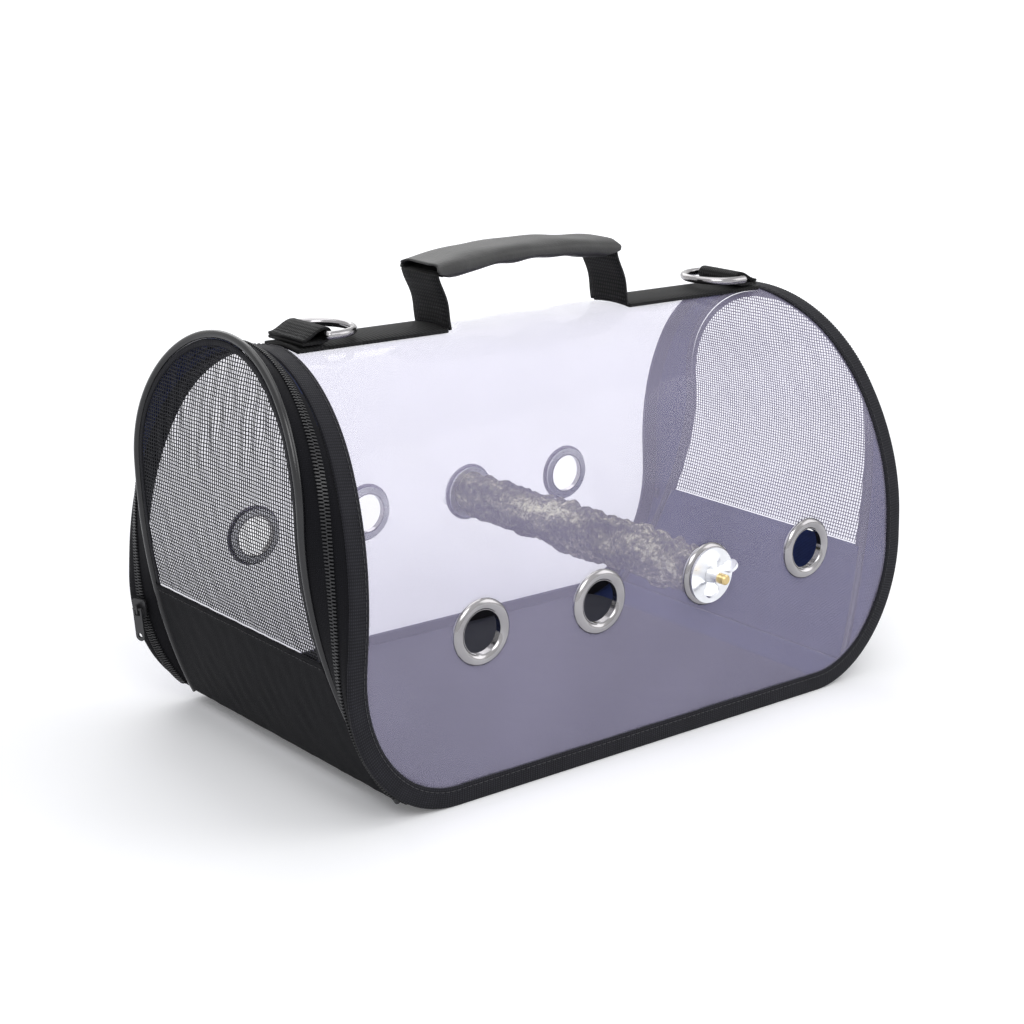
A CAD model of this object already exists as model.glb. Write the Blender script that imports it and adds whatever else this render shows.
import bmesh
import bpy
import numpy as np
from mathutils import Matrix, Vector


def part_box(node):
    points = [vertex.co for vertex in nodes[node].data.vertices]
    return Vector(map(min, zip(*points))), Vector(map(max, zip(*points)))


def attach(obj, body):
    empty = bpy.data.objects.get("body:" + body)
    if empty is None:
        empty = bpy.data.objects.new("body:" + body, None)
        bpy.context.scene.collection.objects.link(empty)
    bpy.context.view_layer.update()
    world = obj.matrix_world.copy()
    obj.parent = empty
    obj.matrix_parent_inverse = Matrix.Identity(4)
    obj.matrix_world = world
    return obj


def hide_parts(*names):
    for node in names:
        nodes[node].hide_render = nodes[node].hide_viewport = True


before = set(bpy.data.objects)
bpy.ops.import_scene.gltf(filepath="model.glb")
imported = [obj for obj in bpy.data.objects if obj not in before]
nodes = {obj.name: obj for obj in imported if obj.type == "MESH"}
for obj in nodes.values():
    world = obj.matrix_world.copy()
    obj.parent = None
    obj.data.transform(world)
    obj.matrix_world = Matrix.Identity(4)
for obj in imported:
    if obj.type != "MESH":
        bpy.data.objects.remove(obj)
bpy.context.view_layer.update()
mm = 0.001  # shapes are worked out in millimetres and put into the meshes in metres

# The driving sizes of the part, in millimetres, as its source has them
body = dict(height=229.0, topR=100.0, wallY=108.6, wallZ=100.0, ridgeHalf=181.0, wideHalf=205.0, wideZ=81.0,
            sideBow=1.33, footHalf=137.0, sheet=0.8, fabric=1.2, gap=0.3)
tape = dict(width=11.3, thick=1.0)
door = dict(footZ=9.0, footY=100.7, r=80.2, topZ=239.0, topX=203.3, bulge=22.4, piping=4.6)
sink = dict(x=10.5, z=15.0, low=100.0, high=225.0)  # how far the right door's slack top settles
zipper = dict(place=0.38, gap=1.4, coilW=2.0, coilT=1.2)
eyelet = dict(pitch=81.0, z=92.5, hole=14.6)
perch = dict(x=40.5, z=92.5, d=28.0, bark=1.6, half=105.8)
webbing = dict(width=32.0, thick=2.2)
handle = dict(feet=(-70.0, 60.0), z=230.7, riser=30.0, lean=18.0, rise=6.0, span=130.0)
ring = dict(x=152.0, z=236.3, wire=4.5)


# Camera, floor and light

# The focal length is in pixels of a picture this wide
view = dict(azimuth=-39.45, elevation=15.97, roll=0.66, distance=1216.65, aimX=-9.73, aimZ=106.29,
            focal=2018.68, picture=1024, sensor=36.0)


def placed(name, data):
    holder = bpy.data.objects.new(name, data)
    bpy.context.scene.collection.objects.link(holder)
    return holder


def aimCamera():
    # Back, right and up follow from azimuth and elevation.
    # Roll then turns right and up about the line of sight.
    a, e, r = np.radians([view["azimuth"], view["elevation"], view["roll"]])
    back = np.array([np.sin(a) * np.cos(e), -np.cos(a) * np.cos(e), np.sin(e)])
    right = np.array([np.cos(a), np.sin(a), 0.0])
    up = np.cross(back, right)
    place = right * view["aimX"] + up * view["aimZ"] + back * view["distance"]
    x = np.cos(r) * right + np.sin(r) * up
    y = -np.sin(r) * right + np.cos(r) * up
    camera = placed("camera", bpy.data.cameras.new("camera"))
    rows = [[x[i], y[i], back[i], place[i] * mm] for i in range(3)]
    camera.matrix_world = Matrix(rows + [[0, 0, 0, 1]])
    camera.data.sensor_width = view["sensor"]
    camera.data.lens = view["focal"] / view["picture"] * view["sensor"]
    camera.data.clip_start = 0.05
    bpy.context.scene.camera = camera


# Each lamp's place in metres, its watts and its size; all look at aim, on the Z axis
lamps = dict(key=(-0.9, -1.3, 1.5, 15.0, 1.1), fill=(1.3, -1.0, 1.0, 8.0, 1.2),
             top=(0.0, 0.2, 1.9, 12.0, 1.6), rim=(0.6, 1.6, 1.3, 8.0, 1.2))
studio = dict(aim=0.1, sky=0.42, skyColour=(0.93, 0.95, 1.0))


def setStage():
    scene = bpy.context.scene
    scene.view_settings.view_transform = "Standard"
    for name, (x, y, z, power, size) in lamps.items():
        lamp = bpy.data.lights.new(name, "AREA")
        lamp.energy, lamp.size = power, size
        holder = placed(name, lamp)
        holder.location = (x, y, z)
        tilt = np.arctan2(np.hypot(x, y), z - studio["aim"])
        holder.rotation_euler = (tilt, 0, np.arctan2(x, -y))
    world = bpy.data.worlds.new("studio")
    scene.world = world
    world.use_nodes = True
    tree = world.node_tree
    tree.nodes.clear()
    path = tree.nodes.new("ShaderNodeLightPath")
    sky, plain = tree.nodes.new("ShaderNodeBackground"), tree.nodes.new("ShaderNodeBackground")
    sky.inputs["Color"].default_value = (*studio["skyColour"], 1)
    sky.inputs["Strength"].default_value = studio["sky"]
    plain.inputs["Color"].default_value = (1, 1, 1, 1)
    plain.inputs["Strength"].default_value = 1.0
    out, mix = tree.nodes.new("ShaderNodeOutputWorld"), tree.nodes.new("ShaderNodeMixShader")
    link(tree, eitherRay(tree, path), mix.inputs[0])
    link(tree, sky.outputs[0], mix.inputs[1])
    link(tree, plain.outputs[0], mix.inputs[2])
    link(tree, mix.outputs[0], out.inputs[0])


def link(tree, a, b):
    tree.links.new(a, b)


def eitherRay(tree, path):
    # The camera, metal and clear sheets see the plain white background.
    seen = path.outputs["Is Camera Ray"]
    for kind in ("Is Glossy Ray", "Is Transmission Ray"):
        either = tree.nodes.new("ShaderNodeMath")
        either.operation = "MAXIMUM"
        link(tree, seen, either.inputs[0])
        link(tree, path.outputs[kind], either.inputs[1])
        seen = either.outputs[0]
    return seen


# Materials

def blank(name, **sockets):
    mat = bpy.data.materials.new(name)
    mat.use_nodes = True
    shader = mat.node_tree.nodes["Principled BSDF"]
    for key, value in sockets.items():
        shader.inputs[key].default_value = (*value, 1) if isinstance(value, tuple) else value
    return mat, mat.node_tree, shader


def coords(tree, kind, scale=(1, 1, 1)):
    source, place = tree.nodes.new("ShaderNodeTexCoord"), tree.nodes.new("ShaderNodeMapping")
    place.inputs["Scale"].default_value = scale
    link(tree, source.outputs[kind], place.inputs["Vector"])
    return place.outputs["Vector"]


def waves(tree, vector, pitch, axis):
    # A wave texture repeats every 0.314 / scale along its axis.
    wave = tree.nodes.new("ShaderNodeTexWave")
    wave.bands_direction = axis
    wave.inputs["Scale"].default_value = 0.314 / pitch
    wave.inputs["Distortion"].default_value = 0.3
    wave.inputs["Detail Scale"].default_value = 2.0
    link(tree, vector, wave.inputs["Vector"])
    return wave.outputs["Fac"]


def noise(tree, vector, size, detail=3.0, rough=0.55):
    tex = tree.nodes.new("ShaderNodeTexNoise")
    tex.inputs["Scale"].default_value = 1 / size
    tex.inputs["Detail"].default_value = detail
    tex.inputs["Roughness"].default_value = rough
    link(tree, vector, tex.inputs["Vector"])
    return tex.outputs["Fac"]


def calc(tree, kind, a, b):
    node = tree.nodes.new("ShaderNodeMath")
    node.operation = kind
    for i, value in enumerate((a, b)):
        if isinstance(value, (int, float)):
            node.inputs[i].default_value = value
        else:
            link(tree, value, node.inputs[i])
    return node.outputs[0]


def ramp(tree, factor, stops):
    node = tree.nodes.new("ShaderNodeValToRGB")
    marks = node.color_ramp.elements
    while len(marks) < len(stops):
        marks.new(0.5)
    for mark, (place, colour) in zip(marks, stops):
        mark.position = place
        mark.color = (*colour, 1)
    link(tree, factor, node.inputs[0])
    return node.outputs[0]


def paint(tree, shader, factor, *stops):
    link(tree, ramp(tree, factor, stops), shader.inputs["Base Color"])


def bump(tree, shader, height, depth, strength):
    node = tree.nodes.new("ShaderNodeBump")
    node.inputs["Strength"].default_value = strength
    node.inputs["Distance"].default_value = depth
    link(tree, height, node.inputs["Height"])
    link(tree, node.outputs[0], shader.inputs["Normal"])


def cloth(name, look):
    # Threads cross as two sets of waves in the piece's own UV, in metres; a soft noise varies the colour.
    mat, tree, shader = blank(name, Roughness=look["rough"])
    shader.inputs["Sheen Weight"].default_value = 0.02
    shader.inputs["Sheen Roughness"].default_value = 0.5
    shader.inputs["Specular IOR Level"].default_value = look.get("shine", 0.2)
    uv, place = coords(tree, "UV"), coords(tree, "Object")
    warp = waves(tree, uv, look["pitch"][0], "X")
    weft = waves(tree, uv, look["pitch"][1], "Y")
    weave = calc(tree, "MULTIPLY", warp, weft)
    patch = noise(tree, place, 0.012)
    both = calc(tree, "ADD", calc(tree, "MULTIPLY", weave, 0.65), calc(tree, "MULTIPLY", patch, 0.35))
    paint(tree, shader, both, (0.1, look["dark"]), (0.75, look["pale"]))
    bump(tree, shader, weave, look.get("depth", 0.0003), look.get("strength", 0.6))
    return mat


def glossy(name, colour, rough, size=0.004, depth=0.0001):
    # A fine grain varies the colour and the surface.
    mat, tree, shader = blank(name, Roughness=rough)
    grain = noise(tree, coords(tree, "Object"), size, 4.0)
    dark = tuple(0.8 * c for c in colour)
    paint(tree, shader, grain, (0.3, dark), (0.7, colour))
    bump(tree, shader, grain, depth, 0.4)
    return mat


def metal(name, colour, rough, scratch=0.15):
    # Fine scratches change the roughness, and faint stains the colour.
    mat, tree, shader = blank(name, Metallic=1.0)
    place = coords(tree, "Object", (1, 1, 6))
    worn = noise(tree, place, 0.006, 5.0)
    stain = noise(tree, coords(tree, "Object"), 0.02, 2.0)
    dark = tuple(0.82 * c for c in colour)
    paint(tree, shader, stain, (0.35, dark), (0.65, colour))
    dull = calc(tree, "ADD", calc(tree, "MULTIPLY", worn, scratch), rough - scratch / 2)
    link(tree, dull, shader.inputs["Roughness"])
    bump(tree, shader, worn, 0.00005, 0.3)
    return mat


# The two colours of each cloth, and the pitch of its warp and weft in metres
looks = dict(
    tape=dict(dark=(0.003, 0.003, 0.005), pale=(0.020, 0.020, 0.026), pitch=(0.0016, 0.0011), rough=0.7),
    canvas=dict(dark=(0.003, 0.003, 0.004), pale=(0.008, 0.008, 0.011), pitch=(0.0009, 0.0009), rough=0.8,
                shine=0.12),
    webbing=dict(dark=(0.002, 0.002, 0.002), pale=(0.016, 0.016, 0.017), pitch=(0.0024, 0.0016), rough=0.7,
                 depth=0.0005, strength=0.9),
    net=dict(dark=(0.010, 0.010, 0.012), pale=(0.026, 0.026, 0.032), pitch=(0.0005, 0.0005), rough=0.7,
             strength=0.2),
    lining=dict(dark=(0.008, 0.009, 0.018), pale=(0.022, 0.022, 0.040), pitch=(0.0009, 0.0009), rough=0.7),
    inner=dict(dark=(0.004, 0.010, 0.050), pale=(0.012, 0.026, 0.120), pitch=(0.0009, 0.0009), rough=0.7),
)


glossyLooks = {
    "piping": dict(colour=(0.010, 0.010, 0.012), rough=0.22, size=0.003, depth=0.00008),
    "coil": dict(colour=(0.014, 0.014, 0.016), rough=0.4),
    "board": dict(colour=(0.16, 0.15, 0.13), rough=0.6),
    "thread": dict(colour=(0.03, 0.03, 0.034), rough=0.6, size=0.001),
    "black paint": dict(colour=(0.03, 0.03, 0.032), rough=0.35),
}
metalLooks = {
    "chrome": dict(colour=(0.36, 0.35, 0.36), rough=0.17),
    "zinc": dict(colour=(0.90, 0.91, 0.94), rough=0.30, scratch=0.2),
    "brass": dict(colour=(0.62, 0.48, 0.24), rough=0.32),
}


def makeMaterials():
    made = {name: cloth(name, look) for name, look in looks.items()}
    made["clear"] = clearSheet()
    for name, look in glossyLooks.items():
        made[name] = glossy(name, **look)
    for name, look in metalLooks.items():
        made[name] = metal(name, **look)
    made["leather"] = sleeveLeather()
    made["bark"] = barkMaterial()
    return made


clearLook = dict(colour=(0.76, 0.71, 0.98), alpha=0.16, rough=0.10)


def clearSheet():
    # Clear sheet: mostly see-through, with a faint bluish haze and a wide soft gloss.
    mat, tree, shader = blank("clear", Roughness=clearLook["rough"], Alpha=clearLook["alpha"])
    haze = noise(tree, coords(tree, "Object"), 0.06, 3.0)
    low = tuple(0.9 * c for c in clearLook["colour"])
    paint(tree, shader, haze, (0.35, low), (0.65, clearLook["colour"]))
    shader.inputs["IOR"].default_value = 1.5
    bump(tree, shader, noise(tree, coords(tree, "Object"), 0.03, 2.0), 0.0006, 0.25)
    return mat


leatherLook = dict(rough=0.5, dark=(0.012, 0.012, 0.012), pale=(0.030, 0.030, 0.030), patch=0.015)


def sleeveLeather():
    # A fine cell pattern is pressed in, and a soft noise varies the dark grey.
    mat, tree, shader = blank("leather", Roughness=leatherLook["rough"])
    place = coords(tree, "Object")
    cells = tree.nodes.new("ShaderNodeTexVoronoi")
    cells.inputs["Scale"].default_value = 900  # cells of about a millimetre
    link(tree, place, cells.inputs["Vector"])
    patch = noise(tree, place, leatherLook["patch"])
    paint(tree, shader, patch, (0.3, leatherLook["dark"]), (0.7, leatherLook["pale"]))
    bump(tree, shader, cells.outputs["Distance"], 0.0002, 0.5)
    return mat


# Bark's colours from its cracks to its bare, worn places
barkLook = dict(rough=0.85, depth=0.0015,
                stops=((0.38, (0.002, 0.002, 0.001)), (0.46, (0.030, 0.026, 0.012)),
                       (0.54, (0.20, 0.19, 0.11)), (0.64, (0.90, 0.87, 0.60))))


def barkMaterial():
    mat, tree, shader = blank("bark", Roughness=barkLook["rough"])
    # Broad streaks drawn out along the branch, and fine grain, run through four colours.
    broad = noise(tree, coords(tree, "Object", (1, 0.35, 1)), 0.012, 6.0, 0.65)
    fine = noise(tree, coords(tree, "Object"), 0.0025, 5.0, 0.7)
    both = calc(tree, "ADD", calc(tree, "MULTIPLY", broad, 0.6), calc(tree, "MULTIPLY", fine, 0.4))
    paint(tree, shader, both, *barkLook["stops"])
    bump(tree, shader, both, barkLook["depth"], 0.9)
    return mat


# The curves that the soft pieces share

archZ = body["height"] - body["topR"]
turn = np.pi / 2 - 2 * np.arctan((body["wallY"] - body["topR"]) / (archZ - body["wallZ"]))
arcShift = (archZ - body["wallZ"]) / np.cos(turn)
sideR = body["topR"] + arcShift
sideY = -arcShift * np.sin(turn)
topLen = body["topR"] * turn
sideLen = sideR * (np.pi / 2 - turn)
skinLen = topLen + sideLen + body["wallZ"]
wideS = skinLen - body["wideZ"]
footS = skinLen - door["footZ"]
innerY = body["wallY"] - body["sheet"] - tape["thick"]
cabinMiddle = Vector((0, 0, archZ * 0.8 * mm))
cornerLong = body["wideHalf"] - body["footHalf"]
panelInset = door["piping"] / 2 + body["gap"]
doorArchZ = door["topZ"] - door["r"]
doorWall = doorArchZ - door["footZ"]


def skin(s, out=0.0):
    # Top arc, then a side arc that meets it without a kink, then an upright wall; s counts from the ridge.
    t = np.abs(s)
    a, b = t / body["topR"], turn + (t - topLen) / sideR
    onTop, onSide = t < topLen, t < topLen + sideLen
    y = np.where(onTop, (body["topR"] + out) * np.sin(a),
                 np.where(onSide, sideY + (sideR + out) * np.sin(b), body["wallY"] + out))
    z = np.where(onTop, archZ + (body["topR"] + out) * np.cos(a),
                 np.where(onSide, body["wallZ"] + (sideR + out) * np.cos(b), skinLen - t))
    return np.sign(s) * y, z


def cornerX(z):
    # A quarter of an ellipse joins the straight foot to the widest place.
    rise = np.clip((body["wideZ"] - z) / body["wideZ"], 0, 1)
    return body["footHalf"] + cornerLong * np.sqrt(1 - rise ** 2)


def reach(s):
    # Half the sheet's length: a bowed line from the ridge to the widest place, and the corner below it.
    t = np.abs(s)
    bow = 1 - np.clip(1 - t / wideS, 0, 1) ** body["sideBow"]
    high = body["ridgeHalf"] + (body["wideHalf"] - body["ridgeHalf"]) * bow
    return np.where(t < wideS, high, cornerX(skinLen - t))


def onCover(x, s, out=0.0):
    # The flat sheet's x and s carried onto the arch.
    y, z = skin(s, out)
    return np.stack(np.broadcast_arrays(x, y, z), -1)


hingeX = float(cornerX(door["footZ"])) + 1
chord = np.hypot(door["topX"] - hingeX, door["topZ"] - door["footZ"])
bulgeR = chord ** 2 / (8 * door["bulge"]) + door["bulge"] / 2
bulgeDir = np.array([door["topZ"] - door["footZ"], hingeX - door["topX"]]) / chord
chordMid = np.array([hingeX + door["topX"], door["footZ"] + door["topZ"]]) / 2
bulgeC = chordMid - (bulgeR - door["bulge"]) * bulgeDir


def doorX(z):
    # The door lies on a lying cylinder, so that it bulges.
    return bulgeC[0] + np.sqrt(bulgeR ** 2 - (z - bulgeC[1]) ** 2)


def doorHalf(z):
    # Half the width at a height: a round top on sides that flare as a parabola.
    flared = door["r"] + (door["footY"] - door["r"]) * ((doorArchZ - z) / doorWall) ** 2
    rounded = np.sqrt(np.clip(door["r"] ** 2 - (z - doorArchZ) ** 2, 0, None))
    return np.where(z > doorArchZ, rounded, flared)


def edgeAt(v):
    # Along the cover's end, counted as the piping is.
    s = v * footS
    y, z = skin(s, -body["sheet"] / 2)
    return np.stack([reach(s), y, z], -1)


def settled(points, side):
    # The right door hangs lower and further in towards its top than the tight left one.
    if side == "left":
        return points
    t = np.clip((points[..., 2] - sink["low"]) / (sink["high"] - sink["low"]), 0, 1)
    return points + (t * t * (3 - 2 * t))[..., None] * np.array([-sink["x"], 0.0, -sink["z"]])


def doorAt(v, side):
    # Along the piping from the top, v = 0, down to the fold, v = 1 at the back and -1 at the front.
    arc = door["r"] * np.pi / 2
    d = np.abs(v) * (arc + doorWall)
    a = d / door["r"]
    z = np.where(d < arc, doorArchZ + door["r"] * np.cos(a), doorArchZ - (d - arc))
    y = np.where(d < arc, door["r"] * np.sin(a), doorHalf(z))
    return settled(np.stack([doorX(z), np.sign(v) * y, z], -1), side)


def unit(a):
    return a / np.linalg.norm(a, axis=-1, keepdims=True)


def zipAt(v, side):
    # The zip runs at a fixed share of the way from the cover's edge to the piping.
    return (1 - zipper["place"]) * edgeAt(v) + zipper["place"] * doorAt(v, side)


def railFrame(v, side):
    # Across from cover to door, and out of the fabric.
    across = unit(doorAt(v, side) - edgeAt(v))
    along = zipAt(np.clip(v + 0.005, -1, 1), side) - zipAt(np.clip(v - 0.005, -1, 1), side)
    return across, unit(np.cross(across, along))


def ripple(a, b, seed, size):
    # A sum of a few sine waves with seeded directions and phases, about 1 high.
    rng, count, total = np.random.default_rng(seed), 7, 0
    for _ in range(count):
        angle, phase, scale = rng.uniform(0, np.pi), rng.uniform(0, 2 * np.pi), rng.uniform(0.7, 1.6)
        total = total + np.sin(2 * np.pi * scale * (a * np.cos(angle) + b * np.sin(angle)) / size + phase)
    return total / np.sqrt(count)


# Meshes

def newPiece(name, points, faces, uv, material, smooth=True):
    mesh = bpy.data.meshes.new(name)
    mesh.from_pydata((np.asarray(points, float).reshape(-1, 3) * mm).tolist(), [], faces)
    if uv is not None:
        layer = mesh.uv_layers.new(name="UVMap")
        layer.data.foreach_set("uv", (np.asarray(uv, float) * mm).astype(np.float32).ravel())
    mesh.polygons.foreach_set("use_smooth", [smooth] * len(mesh.polygons))
    mesh.update()
    mesh.materials.append(materials[material])
    return placed(name, mesh)


def lengths(points, axis):
    # Running length along one axis of a grid, as the mean over the other.
    step = np.linalg.norm(np.diff(points, axis=axis), axis=-1)
    return np.concatenate([[0], np.cumsum(step.mean(1 - axis))])


def gridPiece(name, points, material, ring=False, capped=False, keep=None, flip=False, thick=0.0):
    # A grid of points, row by row; a ring closes each row on itself, and caps close the first and last rows.
    n, m = points.shape[:2]
    closed = np.concatenate([points, points[:, :1]], 1) if ring else points
    u, w = lengths(closed, 0), lengths(closed, 1)
    cols = m if ring else m - 1
    i, j = np.meshgrid(np.arange(n - 1), np.arange(cols), indexing="ij")
    k = (j + 1) % m
    quad = np.stack([i * m + j, (i + 1) * m + j, (i + 1) * m + k, i * m + k], -1)
    uv = np.stack([np.stack([u[i], w[j]], -1), np.stack([u[i + 1], w[j]], -1),
                   np.stack([u[i + 1], w[j + 1]], -1), np.stack([u[i], w[j + 1]], -1)], -2)
    if keep is not None:
        quad, uv = quad[keep], uv[keep]
    quad, uv = quad.reshape(-1, 4), uv.reshape(-1, 4, 2)
    if flip:
        quad, uv = quad[:, ::-1], uv[:, ::-1]
    faces, corners = quad.tolist(), uv.reshape(-1, 2).tolist()
    if capped:
        first, last = list(range(m)), list(range((n - 1) * m, n * m))[::-1]
        faces += [first, last]
        corners += [[0.0, 0.0]] * 2 * m
    piece = newPiece(name, points, faces, corners, material)
    if thick:
        wall = piece.modifiers.new("wall", "SOLIDIFY")
        wall.thickness, wall.offset, wall.use_even_offset = thick * mm, 0.0, True
    return piece


def slab(name, left, right, out, thick, material):
    # A strip of cloth between two lines, thinner at its edges: each row runs over the top and back below.
    t = np.linspace(0, 1, 8)[None, :, None]
    mid = left[:, None] * (1 - t) + right[:, None] * t
    lift = out[:, None] * np.minimum(1, np.sin(np.pi * t) + 0.35) * thick / 2
    rim = 0.35 * thick * unit(right - left)
    ring = [(left - rim)[:, None], mid + lift, (right + rim)[:, None], (mid - lift)[:, ::-1]]
    return gridPiece(name, np.concatenate(ring, 1), material, ring=True, capped=True)


def stitches(name, path, out, look, owner):
    # Short threads laid end to end along a path: each is a thin ridge of five rings, highest in its middle.
    step = np.linalg.norm(np.diff(path, axis=0), axis=1)
    s = np.concatenate([[0], np.cumsum(step)])
    count = max(2, int(s[-1] / look["pitch"]))
    centre = (np.arange(count) + 0.5) * s[-1] / count
    at = lambda q, d: np.stack([np.interp(d, s, q[:, c]) for c in range(3)], -1)
    p, n = at(path, centre), unit(at(out, centre))
    t = unit(at(path, np.minimum(centre + 0.4, s[-1])) - at(path, np.maximum(centre - 0.4, 0)))
    side = np.cross(n, t)
    along = np.array([-1, -0.7, 0, 0.7, 1]) * look["long"] / 2
    fat = np.array([0.3, 0.85, 1, 0.85, 0.3]) * look["wide"] / 2
    rise = np.array([-0.5, 0.35, 0.7, 0.35, -0.5]) * look["wide"] / 2
    a = np.radians([20, 90, 160, 270])
    local = [(along[i], fat[i] * np.cos(b), rise[i] + fat[i] * np.sin(b)) for i in range(5) for b in a]
    local = np.array(local)
    points = (p[:, None] + local[None, :, :1] * t[:, None] + local[None, :, 1:2] * side[:, None]
              + local[None, :, 2:] * n[:, None])
    quad = [[i * 4 + j, i * 4 + (j + 1) % 4, (i + 1) * 4 + (j + 1) % 4, (i + 1) * 4 + j]
            for i in range(4) for j in range(4)]
    quad += [[3, 2, 1, 0], [16, 17, 18, 19]]
    faces = (np.array(quad)[None] + 20 * np.arange(count)[:, None, None]).reshape(-1, 4).tolist()
    sewn = outwards(newPiece(name, points, faces, None, "thread"))
    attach(sewn, owner)


def reworked(piece, change):
    # One step of mesh work on a piece.
    work = bmesh.new()
    work.from_mesh(piece.data)
    change(work)
    work.to_mesh(piece.data)
    work.free()
    return piece


def outwards(piece):
    # Mirrored shapes get their faces turned outwards again.
    return reworked(piece, lambda work: bmesh.ops.recalc_face_normals(work, faces=work.faces))


def weld(piece):
    # Points that fall on each other become one.
    return reworked(piece, lambda work: bmesh.ops.remove_doubles(work, verts=work.verts, dist=0.01 * mm))


def lineInside(piece):
    # The faces that look into the cabin get the fabric's navy side, or the side that a wall modifier adds.
    mesh = piece.data
    mesh.materials.append(materials["inner"])
    if piece.modifiers:
        piece.modifiers["wall"].material_offset = 1
        return
    for face in mesh.polygons:
        away = face.center - cabinMiddle
        face.material_index = 1 if face.normal.dot(away) < 0 else 0


def turnedOut(piece):
    # An open sheet's faces look away from the cabin's middle.
    mesh = piece.data
    if sum(f.area * f.normal.dot(f.center - cabinMiddle) for f in mesh.polygons) < 0:
        mesh.flip_normals()
    return piece


def declareSheet(grid):
    # Flat size of a grid of middle points: its longest row, its longest column, and the sum of its cells.
    across, along = np.diff(grid, axis=1), np.diff(grid, axis=0)
    cells = np.linalg.norm(np.cross(across[:-1], along[:, :-1]), axis=-1) / 2
    cells = cells + np.linalg.norm(np.cross(across[1:], along[:, 1:]), axis=-1) / 2


def ends():
    # The left end is the right one mirrored.
    return (("left", lambda p: p * (-1.0, 1.0, 1.0)), ("right", lambda p: p))


aimCamera()
setStage()
materials = makeMaterials()
print("stage and materials made")


# The clear cover and its binding

# Dents fade out over the last share calmX of the length and the last calmS of the width.
coverLook = dict(cell=3.0, dent=0.55, dentSize=70.0, calmX=0.125, calmS=30.0, thick=0.5)


def makeCover():
    # x runs over the length at each distance s from the ridge, s over the whole sheet from front to back.
    half = skinLen - tape["thick"]
    s = np.linspace(-half, half, int(2 * half / coverLook["cell"]))[:, None]
    u = np.linspace(-1, 1, int(2 * body["wideHalf"] / coverLook["cell"]))[None]
    x = u * (reach(s) - tape["thick"])
    fadeX = np.clip((1 - np.abs(u)) / coverLook["calmX"], 0, 1)
    fadeS = np.clip((skinLen - np.abs(s)) / coverLook["calmS"], 0, 1)
    dent = coverLook["dent"] * ripple(x, s, 3, coverLook["dentSize"]) * (fadeX * fadeS)
    points = onCover(x, s + 0 * x, -body["sheet"] / 2 + dent)
    mid = (points[:-1, :-1] + points[1:, 1:]) / 2
    places = (np.arange(4) - 1.5) * eyelet["pitch"]
    away = np.min([np.hypot(mid[..., 0] - p, mid[..., 2] - eyelet["z"]) for p in places], 0)
    piece = gridPiece("clearCover", points, "clear", keep=away > eyelet["hole"], flip=True,
                      thick=coverLook["thick"])
    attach(piece, "shell")
    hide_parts("clear_cover")


bindingLook = dict(step=2.5, pucker=0.22, puckerSize=17.0, seam=9.2,
                   stitch=dict(pitch=3.6, long=2.9, wide=0.55))


def edgeLoop():
    # The flat sheet's whole outline, evenly spaced, as x and s with the direction inwards.
    s = np.linspace(0, wideS, 160)
    a = np.linspace(0, np.pi / 2, 90)[1:]
    quarterX = np.concatenate([reach(s), body["footHalf"] + cornerLong * np.cos(a), [0]])
    quarterS = np.concatenate([s, wideS + body["wideZ"] * np.sin(a), [skinLen]])
    x = np.concatenate([quarterX, -quarterX[-2::-1], -quarterX[1:], quarterX[-2:0:-1]])
    d = np.concatenate([quarterS, quarterS[-2::-1], -quarterS[1:], -quarterS[-2:0:-1]])
    x, d = np.append(x, x[0]), np.append(d, d[0])
    run = np.concatenate([[0], np.cumsum(np.hypot(np.diff(x), np.diff(d)))])
    at = np.linspace(0, run[-1], int(run[-1] / bindingLook["step"]) + 1)[:-1]
    x, d = np.interp(at, run, x), np.interp(at, run, d)
    tx, td = np.roll(x, -1) - np.roll(x, 1), np.roll(d, -1) - np.roll(d, 1)
    long = np.hypot(tx, td)
    return x, d, -td / long, tx / long, at


def makeBinding():
    # A C-shaped section carried round the sheet's outline: over the outside, round the rim and back inside.
    x, s, inX, inS, run = edgeLoop()
    w, t, u = tape["width"], tape["thick"], body["sheet"]
    low = -u - t
    section = np.array([
        (w, 0.04), (w + 0.1, 0.5 * t), (w - 0.4, 0.92 * t), (w - 1.6, t), (0.6 * w, 0.96 * t), (0.3 * w, t),
        (1.2, t), (0.35, 0.75 * t), (0.0, 0.1),  # outer leaf
        (0.0, -u - 0.1), (0.35, low + 0.25 * t), (1.2, low), (0.3 * w, low), (0.7 * w, low), (w - 1.0, low),
        (w, low + 0.3), (w, -u - 0.04),  # inner leaf
        (1.0, -u - 0.04), (1.0, 0.04)])  # the slit that holds the sheet
    pucker = bindingLook["pucker"] * ripple(run, 0 * run, 8, bindingLook["puckerSize"])[:, None]
    depth, out = section[None, :, 0], section[None, :, 1]
    lift = np.where((out > 0.3 * t) & (depth > 1), pucker * np.sin(np.pi * np.clip(depth / w, 0, 1)), 0)
    sheetX, sheetS = x[:, None] + depth * inX[:, None], s[:, None] + depth * inS[:, None]
    points = onCover(sheetX, sheetS, out + np.abs(lift) * 0.6)
    points = np.concatenate([points, points[:1]])
    piece = gridPiece("coverBinding", points, "tape", ring=True)
    outwards(weld(piece))
    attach(piece, "shell")
    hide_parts("cover_binding")
    d = bindingLook["seam"]
    path = onCover(x + d * inX, s + d * inS, t + 0.05)
    away = onCover(x + d * inX, s + d * inS, t + 1.05) - path
    stitches("bindingStitches", path, away, bindingLook["stitch"], "shell")


makeCover()
makeBinding()
print("cover and binding made")


# Base: fabric and lining

baseLook = dict(rows=60, bend=24, flat=30)


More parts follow.
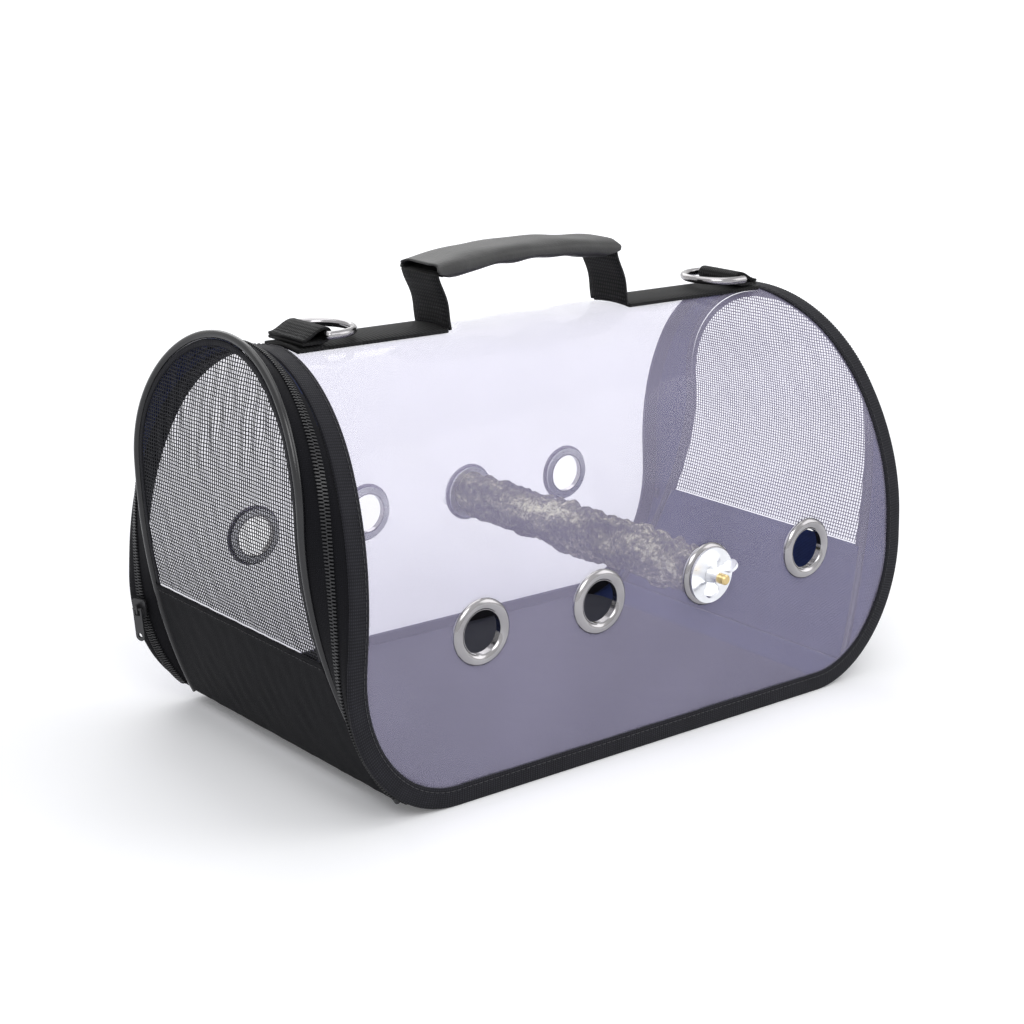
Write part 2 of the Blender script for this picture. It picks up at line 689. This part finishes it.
def makeBase():
    # One strip of fabric: flat on the ground and turned up at both ends along the corner's ellipse.
    t0 = np.arcsin((body["wideZ"] - door["footZ"]) / body["wideZ"])
    a = np.linspace(t0, np.pi / 2, baseLook["bend"])
    flat = np.linspace(body["footHalf"], 0, baseLook["flat"])[1:]
    x = np.concatenate([body["footHalf"] + cornerLong * np.cos(a), flat])
    z = np.concatenate([body["wideZ"] * (1 - np.sin(a)), 0 * flat])
    x, z = np.concatenate([x, -x[-2::-1]]), np.concatenate([z, z[-2::-1]])
    nx, nz = np.gradient(z), -np.gradient(x)
    long = np.hypot(nx, nz)
    x, z = x + body["fabric"] / 2 * nx / long, z + body["fabric"] / 2 * nz / long
    half = innerY - body["gap"]
    y = np.linspace(-half, half, baseLook["rows"])
    points = np.stack(np.broadcast_arrays(x[:, None], y[None], z[:, None]), -1)
    piece = gridPiece("baseFabric", points, "canvas", thick=body["fabric"])
    lineInside(turnedOut(piece))
    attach(piece, "shell")
    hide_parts("base_fabric")


liningLook = dict(thick=0.8, wave=0.5, waveSize=60.0, calm=25.0, corner=14.0)


def makeLining():
    # A thin lining over the board, a little wavy in its middle, with round corners.
    low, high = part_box("floor_lining")
    x = np.linspace(low.x, high.x, 90) / mm
    y = np.linspace(low.y, high.y, 64) / mm
    calm, r = liningLook["calm"], liningLook["corner"]
    fadeX, fadeY = (np.minimum(1, (q[-1] - np.abs(q)) / calm) for q in (x, y))
    wave = np.abs(ripple(x[:, None], y[None], 12, liningLook["waveSize"]))
    z = 0.5 * (low.z + high.z) / mm + liningLook["wave"] * (fadeX[:, None] * fadeY[None]) * wave
    cut = r - np.minimum(r, x[-1] - np.abs(x))
    shrink = 1 - (r - np.sqrt(r ** 2 - cut ** 2)) / y[-1]
    points = np.stack(np.broadcast_arrays(x[:, None], y[None] * shrink[:, None], z), -1)
    piece = gridPiece("floorLining", points, "lining", thick=liningLook["thick"])
    outwards(piece)
    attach(piece, "shell")
    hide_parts("floor_lining")


makeBase()
makeLining()
print("base made")


# Ends: gusset, zip, rim, piping, net and panel

# slit is half the gap between the two tapes, under the closed coils
rail = dict(steps=240, pucker=0.105, puckerSize=26.0, halfRun=300.0, slit=0.12)


def makeStrips():
    # Gusset, door rim, coils and piping, lofted between the cover's edge and the door's outline.
    v = np.linspace(-1, 1, rail["steps"])
    half = rail["slit"]
    wave = ripple(v * rail["halfRun"], 0 * v, 5, rail["puckerSize"])
    wave = rail["pucker"] * (wave * (1 - v ** 8))[:, None]
    for side, place in ends():
        across, out = railFrame(v, side)
        middle, edge, inner = zipAt(v, side), edgeAt(v), doorAt(v, side)
        start = edge + 0.6 * across
        stop = inner - (door["piping"] / 2 + 0.2) * across
        for name, a, b, node, owner in (
                ("Gusset", start, middle - half * across, side + "_gusset", "shell"),
                ("DoorRim", middle + half * across, stop, side + "_door_rim", side + "_door")):
            shift, share = wave * out, 0.0 if name == "Gusset" else 0.5
            piece = slab(side + name, place(a + shift), place(b + shift * share), place(out), body["fabric"],
                         "canvas")
            lineInside(outwards(piece))
            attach(piece, owner)
            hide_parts(node)
        for name, sign, node, owner in (("GussetCoil", -1, side + "_gusset_coil", "shell"),
                                        ("DoorCoil", 1, side + "_door_coil", side + "_door")):
            piece = coil(side + name, place, side, sign)
            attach(piece, owner)
            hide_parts(node)
        piece = pipe(side + "DoorPiping", place(inner), place(across), place(out))
        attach(piece, side + "_door")
        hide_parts(side + "_door_piping")


coilLook = dict(pitch=1.8, tooth=0.8, end=0.985, reach=0.35)  # reach is how far a tooth passes the middle


def coil(name, place, side, sign):
    # A zip's coil: one bent tooth after another along the rail, each a bar that rises over the tape.
    fine = np.linspace(-1, 1, 2000)
    run = np.concatenate([[0], np.cumsum(np.linalg.norm(np.diff(zipAt(fine, side), axis=0), axis=1))])
    count = int(run[-1] / coilLook["pitch"])
    w = np.interp((np.arange(count) + 0.5 + 0.25 * sign) * run[-1] / count, run, fine)
    w = w[np.abs(w) < coilLook["end"]]
    across, out = railFrame(w, side)
    p, along = zipAt(w, side), unit(np.cross(out, across))
    near, far = -coilLook["reach"], zipper["gap"] / 2 + zipper["coilW"]
    low, high = body["fabric"] / 2 + 0.05, body["fabric"] / 2 + zipper["coilT"]
    t = coilLook["tooth"] / 2
    shape = np.array([(far, low), (far, high - 0.35), (far - 0.5, high), (near + 0.4, high),
                      (near, high - 0.4), (near, low + 0.2), (near + 0.4, low)])
    m = len(shape)
    local = np.concatenate([np.c_[shape, np.full(m, -t)], np.c_[shape * (0.96, 1.0), np.full(m, t)]])
    points = (p[:, None] + sign * local[None, :, :1] * across[:, None] + local[None, :, 1:2] * out[:, None]
              + local[None, :, 2:] * along[:, None])
    i, first = np.arange(m), 2 * m * np.arange(len(w))[:, None, None]
    wall = np.stack([i, (i + 1) % m, m + (i + 1) % m, m + i], -1)
    caps = np.stack([i[::-1], m + i])
    faces = (first + wall).reshape(-1, 4).tolist() + (first + caps).reshape(-1, m).tolist()
    return outwards(newPiece(name, place(points), faces, None, "coil", smooth=False))


def pipe(name, path, across, out):
    # A circle carried along the path.
    a = np.linspace(0, 2 * np.pi, 14, endpoint=False)[None, :, None]
    circle = np.cos(a) * across[:, None] + np.sin(a) * out[:, None]
    points = path[:, None] + door["piping"] / 2 * 0.97 * circle
    return outwards(gridPiece(name, points, "piping", ring=True, capped=True))


seams = dict(left=84.0, right=73.0)  # the height at which each door's panel meets its net
netLook = dict(pitch=2.0, strand=0.47, thick=0.3, border=3.2, borderThick=0.5)
wrinkles = dict(depth=0.45, size=24.0, fadeSide=18.0, fadeTop=14.0, low=120.0, rise=80.0, least=0.25)


def doorWave(y, z, seed):
    # Soft folds that run down from the round top and fade towards the piping.
    half = np.maximum(doorHalf(z), 1)
    fade = np.clip((half - np.abs(y)) / wrinkles["fadeSide"], 0, 1)
    fade = fade * np.clip((door["topZ"] - z) / wrinkles["fadeTop"], 0, 1)
    high = np.clip((z - wrinkles["low"]) / wrinkles["rise"], wrinkles["least"], 1)
    return wrinkles["depth"] * fade * high * ripple(y * 1.6, z * 0.7, seed, wrinkles["size"])


def onDoor(y, z, side, out=0.0):
    # The door's face at a place, moved out along the cylinder's radius.
    d = doorWave(y, z, 21 if side == "left" else 22) + out
    centre = np.stack([doorX(z) - bulgeC[0], z - bulgeC[1]], -1) / bulgeR
    return settled(np.stack([doorX(z) + d * centre[..., 0], y, z + d * centre[..., 1]], -1), side)


def makeNet(side, place):
    # Square meshes: each cell is a frame of four strands round a hole; cells outside the border are left out.
    seam, pitch, border = seams[side], netLook["pitch"], netLook["border"]
    inset = panelInset
    y0 = np.arange(-45, 45) * pitch
    z0 = seam + 2.0 + np.arange(int((door["topZ"] - seam) / pitch)) * pitch
    cy, cz = np.meshgrid(y0 + pitch / 2, z0 + pitch / 2, indexing="ij")
    edge = inset + 1.2
    inDoor = np.where(cz > doorArchZ, np.hypot(cy, cz - doorArchZ) < door["r"] - edge,
                      np.abs(cy) < doorHalf(cz) - edge)
    cy, cz = cy[inDoor], cz[inDoor]
    h, k = pitch / 2, pitch / 2 - netLook["strand"] / 2
    square = np.array([(-1, -1), (1, -1), (1, 1), (-1, 1)])
    local = np.concatenate([h * square, k * square])
    y, z = cy[:, None] + local[None, :, 0], cz[:, None] + local[None, :, 1]
    cell = np.array([[0, 1, 5, 4], [1, 2, 6, 5], [2, 3, 7, 6], [3, 0, 4, 7]])
    faces = (8 * np.arange(len(cy))[:, None, None] + cell).reshape(-1, 4)
    uv = np.stack([y, z], -1).reshape(-1, 2)[faces.ravel()]
    piece = weld(newPiece(side + "DoorNet", place(onDoor(y, z, side)), faces.tolist(), uv, "net"))
    wall = piece.modifiers.new("wall", "SOLIDIFY")
    wall.thickness, wall.offset = netLook["thick"] * mm, 0.0
    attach(piece, side + "_door")
    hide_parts(side + "_door_net")
    # The area of a net is that of its strands.
    # The border: tape sewn over the net's edge, from the piping inwards.
    a = np.linspace(-1, 1, 260)
    rim = outline(a, seam + 0.4, inset)
    rimIn = outline(a, seam + 0.4, inset + border)
    edges = np.stack([onDoor(line[:, 0], line[:, 1], side, 0.35) for line in (rim, rimIn)], 1)
    strip = gridPiece(side + "NetBorder", place(edges), "tape", thick=netLook["borderThick"])
    outwards(strip)
    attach(strip, side + "_door")


def outline(a, low, inset):
    # From the seam at the front up over the round top and down to the seam at the back.
    r = door["r"] - inset
    arc = r * np.pi / 2
    d = np.abs(a) * (arc + doorArchZ - low)
    z = np.where(d < arc, doorArchZ + r * np.cos(d / r), doorArchZ - (d - arc))
    y = np.where(d < arc, r * np.sin(d / r), doorHalf(np.minimum(z, doorArchZ)) - inset)
    return np.stack([np.sign(a) * y, z], -1)


panelLook = dict(fold=4.5, out=0.5, foldOut=0.45, seam=2.0, stitch=dict(pitch=3.4, long=2.7, wide=0.55))


def makePanel(side, place):
    # The panel covers the door from the fold to the seam; its turned edge lies on the net, sewn down.
    seam, inset = seams[side], panelInset
    z = np.linspace(door["footZ"] + body["gap"], seam + 1.2, 40)[:, None]
    u = np.linspace(-1, 1, 90)[None]
    y = u * (doorHalf(z) - inset)
    raised = panelLook["out"] + panelLook["foldOut"] * np.clip(z - seam + panelLook["fold"], 0, 1)
    points = onDoor(y, z + 0 * y, side, raised + 0 * y)
    piece = gridPiece(side + "DoorPanel", place(points), "canvas", thick=body["fabric"] * 0.8)
    lineInside(turnedOut(piece))
    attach(piece, side + "_door")
    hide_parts(side + "_door_panel")
    declareSheet(points)
    line = seam - panelLook["seam"]
    y = np.linspace(-1, 1, 90) * (float(doorHalf(line)) - inset - 2)
    path = onDoor(y, line + 0 * y, side, 1.45)
    out = onDoor(y, line + 0 * y, side, 2.45) - path
    stitches(side + "SeamStitches", place(path), place(out), panelLook["stitch"], side + "_door")


makeStrips()
for side, place in ends():
    makeNet(side, place)
    makePanel(side, place)
print("ends made")


# Webbing: ridge straps, ring loops, risers and grip

def alongPath(path):
    # A path's normals in the XZ plane, a quarter turn to the left of its direction.
    d = np.gradient(path, axis=0)
    return unit(np.stack([-d[:, 1], d[:, 0]], -1))


def band(name, path, normal, thick, owner, node, wave=0.0, drop=0.0):
    # A flat strap carried along a path in the XZ plane, its width along Y; its edges drop to follow the arch.
    width = webbing["width"]
    w = np.array([-1, -0.97, -0.6, -0.2, 0.2, 0.6, 0.97, 1]) * width / 2
    lift = np.array([0.55, 0.95, 1, 1, 1, 1, 0.95, 0.55]) * thick / 2
    fall = drop * (w / (width / 2)) ** 2 + 0 * path[:, :1]
    n3 = np.insert(normal, 1, 0, axis=-1)[:, None]
    mid = np.insert(path, 1, 0, axis=-1)[:, None] + w[None, :, None] * np.array([0, 1.0, 0])
    mid = mid - fall[..., None] * np.array([0, 0, 1.0])
    mid = mid + wave * ripple(path[:, :1], w[None], 31, 22)[..., None] * n3
    rise = lift[None, :, None] * n3
    points = np.concatenate([mid + rise, (mid - rise)[:, ::-1]], 1)
    piece = outwards(gridPiece(name, points, "webbing", ring=True, capped=True))
    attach(piece, owner)
    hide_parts(node)


strap = dict(end=169.4, foot=1.9, lift=0.12)  # foot is the gap to the riser, for its bend


def makeStraps():
    # Straight along the ridge; the edges drop as the arch does.
    drop = body["topR"] - np.sqrt(body["topR"] ** 2 - (webbing["width"] / 2) ** 2)
    left, right = handle["feet"]
    for side, start, stop in (("left", -strap["end"], left - strap["foot"]),
                              ("right", right + strap["foot"], strap["end"])):
        x = np.linspace(start, stop, 60)
        path = np.stack([x, 0 * x + body["height"] + strap["lift"] + webbing["thick"] / 2], -1)
        normal = np.stack([0 * x, 0 * x + 1.0], -1)
        band(side + "RidgeStrap", path, normal, webbing["thick"], "shell", side + "_ridge_strap", drop=drop)


# Thinner webbing, whose ends lie on the ridge strap and have two seams
loop = dict(thick=1.7, base=2.45, tail=15.0, seams=(11.0, 14.0), half=14.0,
            stitch=dict(pitch=3.0, long=2.4, wide=0.6))


def makeLoops():
    # Webbing from its sewn end up round the ring's bar and back over itself to the sewn end.
    t = loop["thick"]
    eye = ring["wire"] / 2 + 0.1 + t / 2
    cx, cz = ring["x"], ring["z"]
    base = body["height"] + loop["base"] + t / 2
    a = np.radians(np.linspace(250, 95, 26))
    under = np.stack([np.linspace(cx + loop["tail"], cx + 2, 8), np.full(8, base)], -1)
    bend = np.stack([cx + eye * np.cos(a), cz + eye * np.sin(a)], -1)
    f = np.linspace(0, 1, 18)[1:]
    slope = 0.5 - 0.5 * np.cos(np.pi * f)
    overX, overZ = cx + 0.5 + f * (loop["tail"] - 0.5), (cz + eye) * (1 - slope) + (base + t + 0.1) * slope
    over = np.stack([overX, overZ], -1)
    path = np.concatenate([under, bend, over])
    normal = alongPath(path)
    for side, sign in (("left", -1), ("right", 1)):
        band(side + "RingLoop", path * (sign, 1), normal * (sign, 1), t, "shell", side + "_ring_loop")
        for k, seam in enumerate(loop["seams"]):
            x, y = cx + seam, np.linspace(-loop["half"], loop["half"], 30)
            z = np.interp(x, over[:, 0], over[:, 1]) + t / 2
            line = np.stack([0 * y + sign * x, y, 0 * y + z], -1)
            out = 0 * line + (0, 0, 1.0)
            stitches(f"{side}LoopStitches{k}", line, out, loop["stitch"], "shell")


# bow bends a riser out, drop lets its foot follow the arch, and into is how far it enters the sleeve.
riserLook = dict(bow=1.8, drop=1.2, wave=0.12, into=dict(left=1.4, right=2.6))


def makeRisers():
    # Each riser stands up from its foot in a slight bow and leans with the handle.
    lean = np.radians(handle["lean"])
    for side, foot in zip(("left", "right"), handle["feet"]):
        s = np.linspace(0, handle["riser"] + riserLook["into"][side], 24)
        bow = riserLook["bow"] * np.sin(np.pi * s / handle["riser"]) ** 2
        d, n = np.array([-np.sin(lean), np.cos(lean)]), np.array([np.cos(lean), np.sin(lean)])
        path = np.array([foot, handle["z"]]) + s[:, None] * d + bow[:, None] * n
        drop = riserLook["drop"] * np.clip(1 - s[:, None] / handle["riser"], 0, 1) ** 3
        band(side + "Riser", path, -alongPath(path), webbing["thick"], side + "_riser", side + "_riser",
             wave=riserLook["wave"], drop=drop)


grip = dict(width=37.0, height=11.0, shift=1.5, longer=1.0, mouth=10.0, wall=1.1, pinch=1.1, groove=0.45,
            soft=0.35, tilt=2.2, webbingShort=3.2)


def gripUp(x):
    # The arch, with its right end held up by the folded webbing.
    u = x / (handle["span"] / 2)
    return handle["rise"] * (1 - u ** 2) + grip["tilt"] * np.clip(u, 0, None) ** 1.5


def makeGrip():
    # The webbing, and over it the sleeve: an oval section carried along the arch, open at both ends.
    lean = np.radians(handle["lean"])
    midX = sum(handle["feet"]) / 2 - handle["riser"] * np.sin(lean)
    midZ = handle["z"] + handle["riser"] * np.cos(lean)
    x = np.linspace(-1, 1, 60) * (handle["span"] / 2 - grip["webbingShort"])
    path = np.stack([midX + x, midZ + gripUp(x)], -1)
    band("gripWebbing", path, alongPath(path), webbing["thick"], "grip", "grip_webbing")
    half = handle["span"] / 2 + grip["longer"]
    u = np.linspace(-1, 1, 90)[:, None]
    a = np.linspace(0, 2 * np.pi, 72, endpoint=False)[None]
    c, s = np.cos(a), np.sin(a)

    def oval(inset, along):
        w, h = grip["width"] / 2 - inset, grip["height"] / 2 - inset
        soft = grip["soft"] * ripple(along * half, a * 12, 41, 30) * (1 if inset == 0 else 0.6)
        y = (w + 0.4 * soft) * np.sign(c) * np.abs(c) ** 0.5 + 0 * along
        # Both mouths slant: the underside stops short, so that the risers come in from below.
        short = grip["mouth"] * np.clip(-1.8 * s, 0, 1) + 1.2 * np.sin(3 * a + 1) ** 2
        x = along * (half - short * np.abs(along) ** 3)
        # Fingers have pressed the underside up in the middle, in shallow waves.
        fade = 1 - along ** 2
        press = grip["pinch"] * fade ** 2 + grip["groove"] * np.sin(16 * along + 1) * fade
        high = h + soft - np.where(s < 0, press, 0)
        z = gripUp(x) + grip["shift"] + high * np.sign(s) * np.abs(s) ** 0.75
        return np.stack(np.broadcast_arrays(midX + x, y, midZ + z), -1)

    outer, inner = oval(0.0, u), oval(grip["wall"], u[::-1])
    points = np.concatenate([outer, inner])
    points = np.concatenate([points, points[:1]])
    piece = outwards(weld(gridPiece("gripSleeve", points, "leather", ring=True)))
    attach(piece, "grip")
    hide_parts("grip_sleeve")


makeStraps()
makeLoops()
makeRisers()
makeGrip()
print("webbing and handle made")


# Perch

# knots: height, waves round, degrees a millimetre and first degree, as in the source
# bark: height, seed, most waves round and size along the branch
branchLook = dict(rings=360, sides=128, shrink=0.4,
                  knots=((0.45, 2, 2.1, 0), (0.3, 3, -3.7, 40), (0.35, 0, 5.3, 70), (0.2, 5, 6.1, 0)),
                  bark=((1.0, 51, 4, 18), (0.8, 52, 8, 8), (0.35, 53, 24, 3)))


def makeBranch():
    # The source's knobbly radius with finer knots and cracks on it.
    y = np.linspace(-perch["half"], perch["half"], branchLook["rings"])[:, None]
    a = np.linspace(0, 2 * np.pi, branchLook["sides"], endpoint=False)[None]
    knob = sum(high * np.sin(k * a + np.radians(f * y + first)) for high, k, f, first in branchLook["knots"])
    fine = sum(high * barkNoise(a, y, *look) for high, *look in branchLook["bark"])
    r = perch["d"] / 2 + perch["bark"] * knob + fine - branchLook["shrink"]
    points = np.stack(np.broadcast_arrays(perch["x"] + r * np.cos(a), y, perch["z"] + r * np.sin(a)), -1)
    piece = outwards(gridPiece("perchBranch", points, "bark", ring=True, capped=True))
    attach(piece, "shell")
    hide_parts("perch_branch")


def barkNoise(a, y, seed, around, along):
    # Whole numbers of waves round the branch keep it closed.
    rng = np.random.default_rng(seed)
    total = 0
    for _ in range(9):
        k, f = rng.integers(1, around), rng.uniform(0.4, 1.6) / along
        total = total + np.sin(k * a + 2 * np.pi * f * y + rng.uniform(0, 2 * np.pi))
    return total / 3


makeBranch()
print("perch made")


# Finishes of the solids that stay

finishes = {
    "chrome": ("front_eyelets", "back_eyelets", "left_d_ring", "right_d_ring"),
    "zinc": ("front_eyelet_washers", "back_eyelet_washers", "front_perch_washer", "back_perch_washer",
             "front_wing_nut", "back_wing_nut"),
    "brass": ("front_perch_bolt", "back_perch_bolt"),
    "board": ("base_board",),
    "black paint": ("left_zip_slider", "right_zip_slider", "left_zip_pull", "right_zip_pull"),
}
for finish, names in finishes.items():
    for name in names:
        slots = nodes[name].data.materials
        slots.clear()
        slots.append(materials[finish])


# lift makes the floor whiter; its mark 1 is 5 m away
floorLook = dict(size=40.0, colour=(0.95, 0.95, 0.96), rough=0.9, ramp=0.2,
                 lift=((0.0, 0.10), (0.15, 0.20), (0.30, 0.42), (0.45, 0.58), (0.76, 0.74), (1.0, 0.76)))


def makeFloor():
    # A white floor that keeps the object's shadow.
    size = floorLook["size"]
    floor = bpy.data.meshes.new("floor")
    corners = [(-size, -size, 0), (size, -size, 0), (size, size, 0), (-size, size, 0)]
    floor.from_pydata(corners, [], [(0, 1, 2, 3)])
    holder = placed("floor", floor)
    mat, tree, shader = blank("floor", **{"Base Color": floorLook["colour"], "Roughness": floorLook["rough"]})
    shader.inputs["Specular IOR Level"].default_value = 0.1
    # Only what the camera, mirrors and clear sheets see is lifted to white. The lamps reach about 2 m,
    # so the lift grows with the distance from the object.
    kinds = ("ShaderNodeLightPath", "ShaderNodeEmission", "ShaderNodeAddShader")
    path, glow, mix = (tree.nodes.new(kind) for kind in kinds)
    away = tree.nodes.new("ShaderNodeVectorMath")
    away.operation = "LENGTH"
    link(tree, coords(tree, "Object"), away.inputs[0])
    far = calc(tree, "MULTIPLY", away.outputs["Value"], floorLook["ramp"])
    need = ramp(tree, far, [(p, (v, v, v)) for p, v in floorLook["lift"]])
    link(tree, calc(tree, "MULTIPLY", eitherRay(tree, path), need), glow.inputs["Strength"])
    link(tree, shader.outputs[0], mix.inputs[0])
    link(tree, glow.outputs[0], mix.inputs[1])
    link(tree, mix.outputs[0], tree.nodes["Material Output"].inputs["Surface"])
    floor.materials.append(mat)


makeFloor()
print("finishes and floor made")
